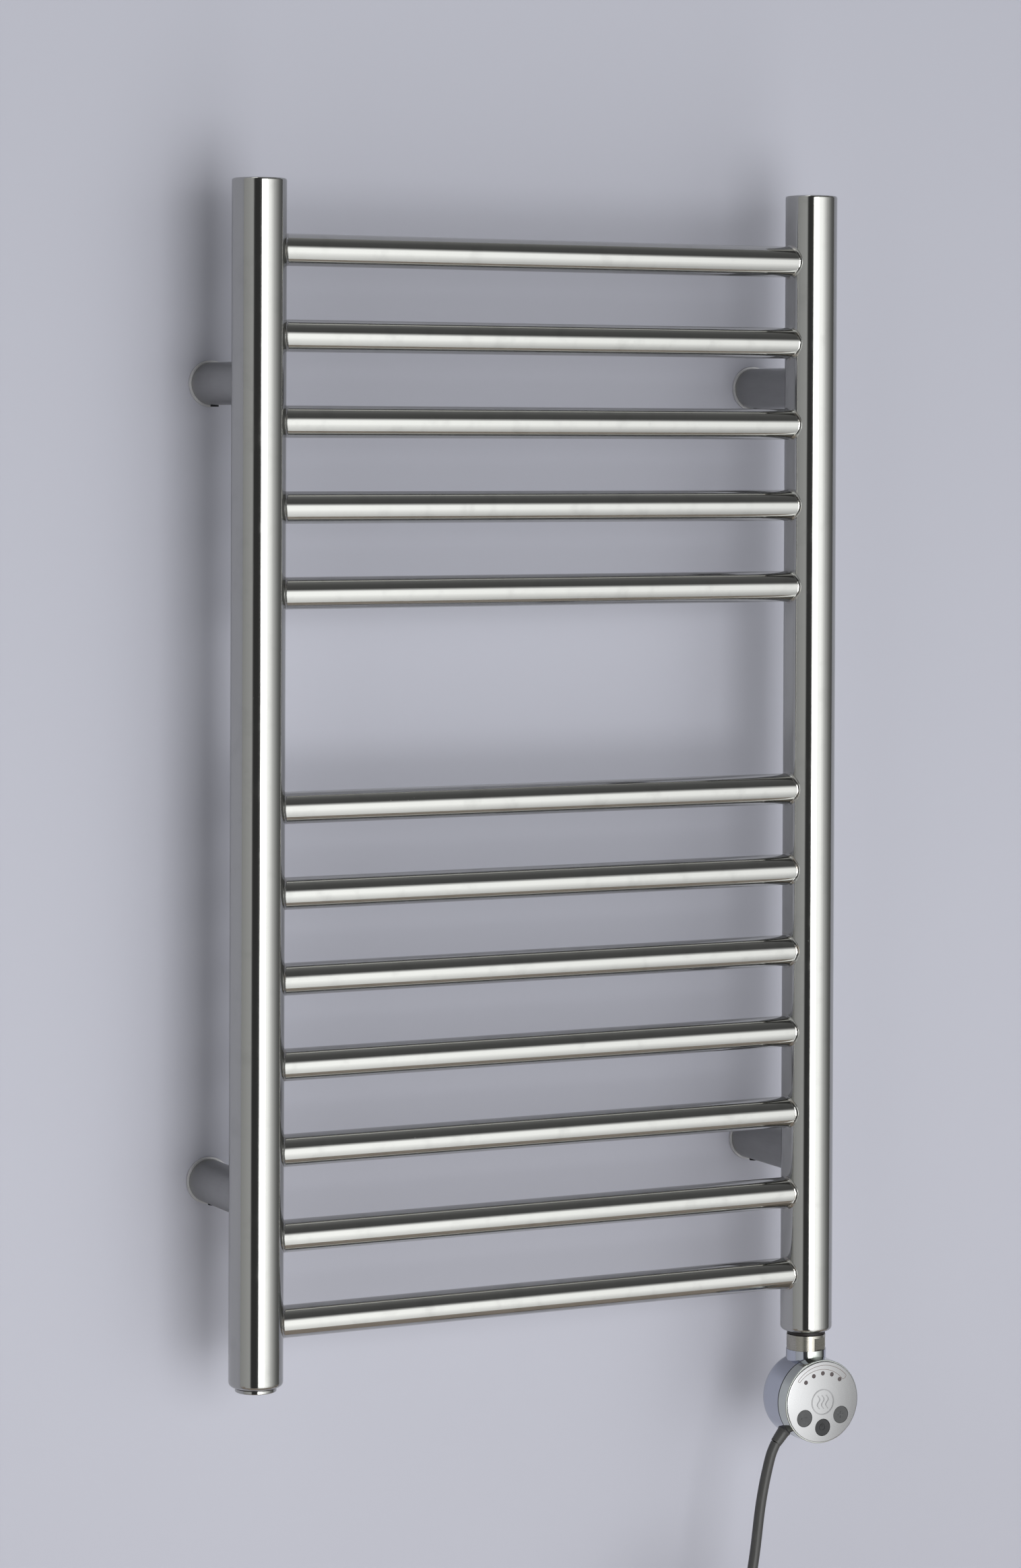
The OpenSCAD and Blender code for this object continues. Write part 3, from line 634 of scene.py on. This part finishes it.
FINISHES = {
    "polished_steel": polished_steel,
    "rail_steel": rail_steel,
    "weld_steel": weld_steel,
    "satin_steel": satin_steel,
    "zinc_steel": zinc_steel,
    "black_steel": black_steel,
    "brass": brass,
    "nickel_brass": nickel_brass,
    "seal_rubber": seal_rubber,
    "chrome_plastic": chrome_plastic,
    "face_satin": face_satin,
    "emblem_satin": emblem_satin,
    "hub_satin": hub_satin,
    "scale_ink": scale_ink,
    "light_dark": light_dark,
    "button_rubber": soft_button("button"),
    "button_dark": soft_button("power"),
    "board_green": board_green,
    "component_plastic": component_plastic,
    "cord_sheath": cord_sheath,
    "tie_band": tie_band,
    "plug_plastic": plug_plastic,
    "pin_nickel": pin_nickel,
}


def finish(name):
    """The material of a finish, made when it is first asked for."""
    found = bpy.data.materials.get("finish_" + name)
    return found or material(
        "finish_" + name, FINISHES[name], bpy.context.scene.rack_finish
    )


def dress(*names, finish_name=None):
    """Gives CAD nodes a finish, which is that of their material slot if none is named."""
    for name in names:
        mesh = NODES[name].data
        mesh.materials.clear()
        mesh.materials.append(finish(finish_name or SLOT_OF_NODE[name]))


def named(*starts):
    """The CAD nodes whose names start with one of the given words."""
    return [name for name in sorted(NODES) if name.startswith(starts)]


# ---------------------------------------------------------------- pieces


def new_piece(name, vertices, faces, finish_name, body, smooth=True):
    """A closed mesh piece that rides on a CAD body."""
    mesh = bpy.data.meshes.new(name)
    mesh.from_pydata([tuple(v) for v in vertices], [], faces)
    tidy = bmesh.new()
    tidy.from_mesh(mesh)
    bmesh.ops.recalc_face_normals(tidy, faces=tidy.faces)
    tidy.to_mesh(mesh)
    tidy.free()
    for face in mesh.polygons:
        face.use_smooth = smooth
    mesh.materials.append(finish(finish_name))
    piece = bpy.data.objects.new(name, mesh)
    bpy.context.scene.collection.objects.link(piece)
    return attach(piece, body)


def loop_faces(rings, ring_size, first=0):
    """Faces of a closed band: rings of vertices joined one to the next and last to first."""
    faces = []
    for i in range(rings):
        a, b = first + i * ring_size, first + (i + 1) % rings * ring_size
        for k in range(ring_size):
            n = (k + 1) % ring_size
            faces.append((a + k, b + k, b + n, a + n))
    return faces


def weld_bead(side, rail_z, width, seed):
    """Vertices of one bead: a hollow fillet between a rail's end and its upright."""
    around, across, root = 56, 6, 0.35
    vertices = []
    for i in range(around):
        angle = math.tau * i / around
        up, front = math.sin(angle), math.cos(angle)
        ripple = noise.noise(Vector((2.2 * up, 2.2 * front, seed * 3.7)))
        reach = width * (1 + 0.22 * ripple)
        depth = RAIL_R * front
        inner_x = math.sqrt(UPRIGHT_R**2 - depth**2)
        corner = Vector((side * (UPRIGHT_X - inner_x), RAIL_Y + depth, rail_z + RAIL_R * up))
        along_rail = Vector((-side, 0, 0))
        normal = Vector((-side * inner_x, depth, 0)).normalized()
        out = Vector((0, front, up))
        along_upright = (out - out.dot(normal) * normal).normalized()
        tangent = corner + along_rail * width * 0.1 + along_upright * width * 0.1
        start = corner + along_rail * reach - out * 0.04 * MM
        end = corner + along_upright * reach - normal * 0.04 * MM
        for k in range(across + 1):
            t = k / across
            vertices.append(
                (1 - t) ** 2 * start + 2 * t * (1 - t) * tangent + t**2 * end
            )
        vertices.append(corner - root * width * (out + normal))
    return vertices, around, across + 2


def ease(t):
    """0 to 1 with a steady bend one way and then the other."""
    t = min(1.0, max(0.0, t))
    return 2 * t * t if t < 0.5 else 1 - 2 * (1 - t) ** 2


def smooth_route(points, steps):
    """Points of a smooth curve through the given ones."""
    found = []
    ends = [points[0] * 2 - points[1], *points, points[-1] * 2 - points[-2]]
    for i in range(1, len(ends) - 2):
        a, b, c, d = ends[i - 1 : i + 3]
        for k in range(steps):
            t = k / steps
            found.append(0.5 * (2 * b + (c - a) * t + (2 * a - 5 * b + 4 * c - d) * t**2
                                + (3 * b - a - 3 * c + d) * t**3))
    return [*found, points[-1]]


# The lead's way from the strain relief down to the coil, as x and z in millimetres.
LEAD_ROUTE = [
    (162.5, -414.1), (159.3, -420.6), (156.6, -429.6), (154.1, -440), (151.9, -451.4),
    (150.2, -463.2), (148.7, -475.1), (146.9, -487), (144.6, -498.5), (141.2, -510),
    (136.6, -521), (130.8, -531), (123.9, -539.8), (116.3, -547.3),
]
# The lead's way out of the coil, round it and down to the plug.
TAIL_ROUTE = [
    (164.5, -541), (156.6, -536), (148.3, -532.6), (138.5, -531.2), (128.7, -532),
    (117.9, -537.6), (109, -545.7), (102.5, -555.9), (99, -567.5), (98, -580),
    (98, -592), (98, -604),
]
FRONT_Y, BACK_Y = -76.4 * MM, -70.0 * MM
COIL_X, COIL_Z = 144.5 * MM, -575.5 * MM
COIL_START, COIL_END, COIL_STEP = 135, 2220, 12
# Where the lead crosses to the next place: from and to an angle, in rings and in layers.
CROSSINGS = [
    (403, 495, -1, 0), (715, 855, -1, 0), (1040, 1180, 0, 1), (1390, 1500, 1, 0),
    (1750, 1860, 1, 0),
]


def coil_points(radius, diameter):
    """Points round the coil's six turns: three in front, out to in, and three behind, in to
    out."""
    found = []
    for angle in range(COIL_START + COIL_STEP, COIL_END, COIL_STEP):
        ring, layer = 1.0, 0.0
        for start, end, rings, layers in CROSSINGS:
            done = ease((angle - start) / (end - start))
            ring += rings * done
            layer += layers * done
        out = radius + diameter * ring
        y = FRONT_Y + (BACK_Y - FRONT_Y) * layer
        turned = math.radians(angle)
        found.append(
            Vector((COIL_X + out * math.cos(turned), y, COIL_Z + out * math.sin(turned)))
        )
    return found


def make_lead(sizes):
    """The mains lead as one smooth curve from the strain relief to the plug."""
    lead = [Vector((x * MM, FRONT_Y, z * MM)) for x, z in LEAD_ROUTE]
    tail = [Vector((x * MM, BACK_Y, z * MM)) for x, z in TAIL_ROUTE]
    route = [
        *smooth_route(lead, 2), *coil_points(sizes.coil_r, sizes.lead_d),
        *smooth_route(tail, 2),
    ]
    curve = bpy.data.curves.new("mains_lead", "CURVE")
    curve.dimensions = "3D"
    curve.bevel_depth = sizes.lead_d / 2
    curve.bevel_resolution = 4
    curve.use_fill_caps = True
    curve.resolution_u = 4
    spline = curve.splines.new("BEZIER")
    spline.bezier_points.add(len(route) - 1)
    for point, at in zip(spline.bezier_points, route):
        point.co = at
        point.handle_left_type = point.handle_right_type = "AUTO"
    curve.materials.append(finish("cord_sheath"))
    lead_piece = bpy.data.objects.new("mains_lead", curve)
    bpy.context.scene.collection.objects.link(lead_piece)
    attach(lead_piece, "rack")
    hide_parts("cord_lead", "cord_coil", "cord_tail")
    dress("cord_tie", "plug_body", "plug_pins")
    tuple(route[0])


def face_point(radius, clock, lift):
    """A point over the crowned face, at an angle in degrees clockwise from straight up."""
    turned = math.radians(clock)
    fall = FACE_CROWN * (radius / FACE_R) ** 2
    return Vector((
        HEAD.x + radius * math.sin(turned), FACE_EDGE_Y + fall - lift,
        HEAD.z + radius * math.cos(turned),
    ))


def scale_line(width):
    """The line round the lights: it tapers from a wide end at the right to a narrow one."""
    left, right, steps, turn_steps = -50.0, 47.0, 48, 6
    outer = 22.6 * MM

    def inner(clock):
        return outer - (1.5 + 1.9 * (clock - left) / (right - left)) * MM

    def rounded(clock, radius_from, radius_to, direction):
        mid = (radius_from + radius_to) / 2
        half = (radius_to - radius_from) / 2
        bulge = math.degrees(abs(half) * 0.55 / mid)
        return [
            (mid - half * math.cos(math.pi * k / turn_steps),
             clock + direction * bulge * math.sin(math.pi * k / turn_steps))
            for k in range(1, turn_steps)
        ]

    clocks = [left + (right - left) * k / steps for k in range(steps + 1)]
    path = [(outer, c) for c in clocks]
    path += rounded(right, outer, inner(right), 1)
    path += [(inner(c), c) for c in reversed(clocks)]
    path += rounded(left, inner(left), outer, -1)
    flat = [Vector((r * math.sin(math.radians(c)), r * math.cos(math.radians(c))))
            for r, c in path]
    vertices = []
    for i, point in enumerate(flat):
        ahead = flat[(i + 1) % len(flat)] - flat[i - 1]
        side = Vector((-ahead.y, ahead.x)).normalized() * width / 2
        for offset, lift in ((1, -0.05), (1, 0.02), (0, 0.035), (-1, 0.02), (-1, -0.05)):
            at = point + side * offset
            vertices.append(
                face_point(at.length, math.degrees(math.atan2(at.x, at.y)), lift * MM)
            )
    return vertices, loop_faces(len(flat), 5)


# ---------------------------------------------------------------- studio

# The camera's place in metres and its angles in degrees, then the point of the picture that
# it looks straight at.
CAMERA_AT = Vector((-1.1637, -2.3790, 0.2086))
CAMERA_AZIMUTH, CAMERA_TILT, CAMERA_ROLL = 26.76, 0.75, 0.233
CENTRE_X, CENTRE_Y = 803.5, 727.6
SENSOR = 36
WALL_Y, WALL_HALF_WIDTH, WALL_TOP = 0.0003, 4, 3
FLOOR_Z, FLOOR_HALF_WIDTH, FLOOR_FRONT_Y = -1.0, 1.6, -0.55
KEY_AT, KEY_WIDTH, KEY_HEIGHT = (-0.155, -2.7, -0.175), 1.09, 1.65
BACKDROP = linear(196, 197, 204)


def place_camera(settings):
    """Camera at the rack's left, level with its upper rails."""
    azimuth, tilt, roll = (
        math.radians(a) for a in (CAMERA_AZIMUTH, CAMERA_TILT, CAMERA_ROLL)
    )
    ahead = Vector((
        math.sin(azimuth) * math.cos(tilt), math.cos(azimuth) * math.cos(tilt),
        -math.sin(tilt),
    ))
    right = Vector((math.cos(azimuth), -math.sin(azimuth), 0))
    up = right.cross(ahead)
    right, up = (
        math.cos(roll) * right + math.sin(roll) * up,
        math.cos(roll) * up - math.sin(roll) * right,
    )
    data = bpy.data.cameras.new("studio_camera")
    data.sensor_fit = "VERTICAL"
    data.sensor_width = data.sensor_height = SENSOR
    data.lens = settings.lens
    data.shift_x = (IMAGE_W / 2 - CENTRE_X) / IMAGE_H
    data.shift_y = (CENTRE_Y - IMAGE_H / 2) / IMAGE_H
    data.clip_start, data.clip_end = 0.05, 50
    camera = bpy.data.objects.new("studio_camera", data)
    bpy.context.scene.collection.objects.link(camera)
    turned = Matrix((right, up, -ahead)).transposed().to_4x4()
    camera.matrix_world = Matrix.Translation(CAMERA_AT) @ turned
    bpy.context.scene.camera = camera


def stage_sheet(name, corners, colour, wave, painted_top_shade=1.0):
    """A flat sheet of the stage. It is clear from behind, and light that came through it may
    go back, so that the rack's back shows and is lit. Towards its top it can take painted
    shade."""
    mesh = bpy.data.meshes.new(name)
    mesh.from_pydata(corners, [], [(0, 1, 2, 3)])
    made = bpy.data.materials.new(name)
    made.use_nodes = True
    recipe = Recipe(made.node_tree)
    mottle = recipe.mix(
        recipe.grain(wave, detail=4), shade(colour, 0.985), shade(colour, 1.015)
    )
    height = recipe.node(
        "ShaderNodeSeparateXYZ", sockets={0: recipe.place()}, out="Z"
    )
    paint = recipe.node("ShaderNodeBsdfPrincipled", sockets={
        # painted shade: the colour darkens towards the sheet's top, standing in for light that
        # falls off upwards
        "Base Color": recipe.mix(
            recipe.between(height, -0.45, 0.5), mottle, shade(colour, painted_top_shade)
        ),
        "Roughness": 0.75,
        "Specular IOR Level": 0.2,
        "Normal": recipe.relief(recipe.grain(900, detail=2), 0.00003),
    })
    clear = recipe.node("ShaderNodeBsdfTransparent")
    behind = recipe.node("ShaderNodeNewGeometry", out="Backfacing")
    passed = recipe.node("ShaderNodeLightPath", out="Transparent Depth")
    both = recipe.node("ShaderNodeMixShader", sockets={0: behind + passed, 1: paint, 2: clear})
    recipe.node("ShaderNodeOutputMaterial", sockets={"Surface": both})
    mesh.materials.append(made)
    sheet = bpy.data.objects.new(name, mesh)
    bpy.context.scene.collection.objects.link(sheet)


def azimuth_stops(pairs, peak=1.0):
    """Ramp stops from azimuths in degrees, 0 straight out from the wall, and brightnesses."""
    return [(0.5 + azimuth / 360, value / peak) for azimuth, value in pairs]


# Brightness of the room and of the glow, by azimuth and by height, both in degrees. Each
# table is divided by its peak for the ramp and multiplied by it afterwards.
ROOM_BY_AZIMUTH = [
    (-180, 0.3), (-95, 0.45), (-86, 0.5), (-52, 0.62), (-48, 0.62), (-43, 0.06), (-14, 0.055),
    (30, 0.1), (60, 0.11), (80, 0.13), (100, 0.2), (180, 0.3),
]
GLOW_PEAK = 2.1
GLOW_BY_AZIMUTH = [
    (-14.5, 0), (-9.5, 2.1), (16, 2.1), (24, 1.85), (31, 1.47), (43, 0.82), (57, 0.42),
    (70, 0.15), (85, 0),
]
GLOW_HEIGHT_PEAK = 1.5
GLOW_BY_HEIGHT = [
    (-90, 1.3), (-58, 1.3), (-51, 1.0), (-42, 0.9), (-32, 0.88), (-23, 0.94), (-14, 1.03),
    (9, 1), (20, 0.22), (26, 0), (90, 0),
]
ROOM_HEIGHT_PEAK = 4
ROOM_BY_HEIGHT = [
    (-90, 3), (-62, 3), (-50, 1.5), (-40, 1), (22, 1), (50, 1.25), (62, 1.8), (80, 4), (90, 4),
]


def light_room(settings):
    """The room as the steel sees it: grey at the left, dark round the camera, then a soft glow
    that fades to the right. Straight views of the background see a plain pale tone."""
    world = bpy.data.worlds.new("studio_room")
    world.use_nodes = True
    bpy.context.scene.world = world
    r = Recipe(world.node_tree)
    x = r.node(
        "ShaderNodeSeparateXYZ",
        sockets={0: r.node("ShaderNodeTexCoord", out="Generated")},
    )
    turned = x.sum("ARCTAN2", x, -x.also("Y")) / math.tau + 0.5
    height = x.sum("ARCSINE", x.also("Z")) / math.pi + 0.5

    def by_height(pairs, peak):
        return r.ramp(height, [(0.5 + a / 180, v / peak) for a, v in pairs])

    room = r.ramp(turned, azimuth_stops(ROOM_BY_AZIMUTH)) * (
        by_height(ROOM_BY_HEIGHT, ROOM_HEIGHT_PEAK) * ROOM_HEIGHT_PEAK
    )
    glow = r.ramp(turned, azimuth_stops(GLOW_BY_AZIMUTH, GLOW_PEAK)) * (
        by_height(GLOW_BY_HEIGHT, GLOW_HEIGHT_PEAK) * (GLOW_PEAK * GLOW_HEIGHT_PEAK)
    )
    lit = r.node("ShaderNodeBackground", sockets={
        "Color": (0.99, 1.0, 1.0, 1), "Strength": (room + glow) * settings.room,
    })
    plain = r.node("ShaderNodeBackground", sockets={
        "Color": (*BACKDROP, 1), "Strength": 1.0,
    })
    straight = r.node("ShaderNodeLightPath", out="Is Camera Ray")
    both = r.node("ShaderNodeMixShader", sockets={0: straight, 1: lit, 2: plain})
    r.node("ShaderNodeOutputWorld", sockets={"Surface": both})


def add_key_light(settings):
    """A large soft light, in front of the rack and beside the camera."""
    data = bpy.data.lights.new("key_light", "AREA")
    data.shape = "RECTANGLE"
    data.size, data.size_y = KEY_WIDTH, KEY_HEIGHT
    data.energy = settings.key
    data.color = (1.0, 1.0, 1.0)
    light = bpy.data.objects.new("key_light", data)
    bpy.context.scene.collection.objects.link(light)
    light.location = KEY_AT
    light.rotation_euler = (math.radians(90), 0, 0)


# ---------------------------------------------------------------- operators


class RACK_OT_stage(bpy.types.Operator):
    """Set up the camera, the wall, the floor and the light"""

    bl_idname = "rack.stage"
    bl_label = "Studio"
    bl_options = {"REGISTER", "UNDO"}

    def execute(self, context):
        settings = context.scene.rack_studio
        context.scene.view_settings.view_transform = "Standard"
        place_camera(settings)
        stage_sheet(
            "studio_wall",
            [(-WALL_HALF_WIDTH, WALL_Y, FLOOR_Z), (WALL_HALF_WIDTH, WALL_Y, FLOOR_Z),
             (WALL_HALF_WIDTH, WALL_Y, WALL_TOP), (-WALL_HALF_WIDTH, WALL_Y, WALL_TOP)],
            # the wall's colour is darkened by 13% at its top: painted shade
            settings.wall, 6, painted_top_shade=0.87,
        )
        stage_sheet(
            "studio_floor",
            [(-FLOOR_HALF_WIDTH, FLOOR_FRONT_Y, FLOOR_Z),
             (FLOOR_HALF_WIDTH, FLOOR_FRONT_Y, FLOOR_Z),
             (FLOOR_HALF_WIDTH, WALL_Y, FLOOR_Z), (-FLOOR_HALF_WIDTH, WALL_Y, FLOOR_Z)],
            settings.floor, 9,
        )
        light_room(settings)
        add_key_light(settings)
        return {"FINISHED"}


class RACK_OT_lead(bpy.types.Operator):
    """Lay the mains lead from the head down through its coil to the plug"""

    bl_idname = "rack.lead"
    bl_label = "Mains lead"
    bl_options = {"REGISTER", "UNDO"}

    def execute(self, context):
        make_lead(context.scene.rack_sizes)
        return {"FINISHED"}


class RACK_OT_tubes(bpy.types.Operator):
    """Polish the uprights, their ends and the rails"""

    bl_idname = "rack.tubes"
    bl_label = "Tubes"
    bl_options = {"REGISTER", "UNDO"}

    def execute(self, context):
        dress(*named("upright_left", "upright_right", "top_cap", "socket"))
        dress(*RAIL_NAMES, finish_name="rail_steel")
        return {"FINISHED"}


class RACK_OT_welds(bpy.types.Operator):
    """Lay a weld bead round both ends of every rail"""

    bl_idname = "rack.welds"
    bl_label = "Weld beads"
    bl_options = {"REGISTER", "UNDO"}

    def execute(self, context):
        vertices, faces = [], []
        for number, name in enumerate(RAIL_NAMES):
            for side in (-1, 1):
                bead, rings, ring_size = weld_bead(
                    side, middle(name).z, context.scene.rack_sizes.weld, number + side * 0.3
                )
                faces += loop_faces(rings, ring_size, first=len(vertices))
                vertices += bead
        new_piece("rail_welds", vertices, faces, "weld_steel", "rack")
        return {"FINISHED"}


class RACK_OT_brackets(bpy.types.Operator):
    """Finish the wall hubs, the sleeves and what clamps and bolts them"""

    bl_idname = "rack.brackets"
    bl_label = "Wall brackets"
    bl_options = {"REGISTER", "UNDO"}

    def execute(self, context):
        dress(*named("sleeve", "clamp_screws", "upright_inserts"))
        dress(*named("wall_hub"), finish_name="hub_satin")
        return {"FINISHED"}


class RACK_OT_fittings(bpy.types.Operator):
    """Finish the air vent, the blanking plug and the heating element"""

    bl_idname = "rack.fittings"
    bl_label = "Fittings"
    bl_options = {"REGISTER", "UNDO"}

    def execute(self, context):
        dress(*named("vent", "blanking", "element", "heating_rod", "probe_tube"))
        return {"FINISHED"}


class RACK_OT_head(bpy.types.Operator):
    """Finish the control head, and draw the line round its lights"""

    bl_idname = "rack.head"
    bl_label = "Control head"
    bl_options = {"REGISTER", "UNDO"}

    def execute(self, context):
        dress(*named(
            "rear_housing", "front_cover", "face", "light_pipes", "button", "circuit",
            "board", "cover_screws", "neck_screw", "cord_relief", "cord_clamp",
        ))
        dress("face_emblem", finish_name="emblem_satin")
        vertices, faces = scale_line(context.scene.rack_sizes.line)
        line = new_piece("face_scale_line", vertices, faces, "scale_ink", "rack", smooth=False)
        return {"FINISHED"}


STEPS = (
    RACK_OT_stage, RACK_OT_lead, RACK_OT_tubes, RACK_OT_welds, RACK_OT_brackets,
    RACK_OT_fittings, RACK_OT_head,
)


class RACK_PT_panel(bpy.types.Panel):
    """The rack's steps and settings"""

    bl_label = "Towel Rack"
    bl_idname = "RACK_PT_panel"
    bl_space_type = "VIEW_3D"
    bl_region_type = "UI"
    bl_category = "Towel Rack"

    def draw(self, context):
        for group in GROUPS:
            box = self.layout.box()
            for name in group.__annotations__:
                box.prop(getattr(context.scene, GROUPS[group]), name)
        for step in STEPS:
            self.layout.operator(step.bl_idname)


GROUPS = {RackFinish: "rack_finish", RackSizes: "rack_sizes", StudioSettings: "rack_studio"}


def register():
    for group, name in GROUPS.items():
        bpy.utils.register_class(group)
        setattr(bpy.types.Scene, name, bpy.props.PointerProperty(type=group))
    for made in (*STEPS, RACK_PT_panel):
        bpy.utils.register_class(made)


def unregister():
    for made in (RACK_PT_panel, *reversed(STEPS)):
        bpy.utils.unregister_class(made)
    for group, name in GROUPS.items():
        delattr(bpy.types.Scene, name)
        bpy.utils.unregister_class(group)


def main():
    register()
    bpy.ops.rack.stage()
    bpy.ops.rack.lead()
    bpy.ops.rack.tubes()
    bpy.ops.rack.welds()
    bpy.ops.rack.brackets()
    bpy.ops.rack.fittings()
    bpy.ops.rack.head()


if __name__ == "__main__":
    main()
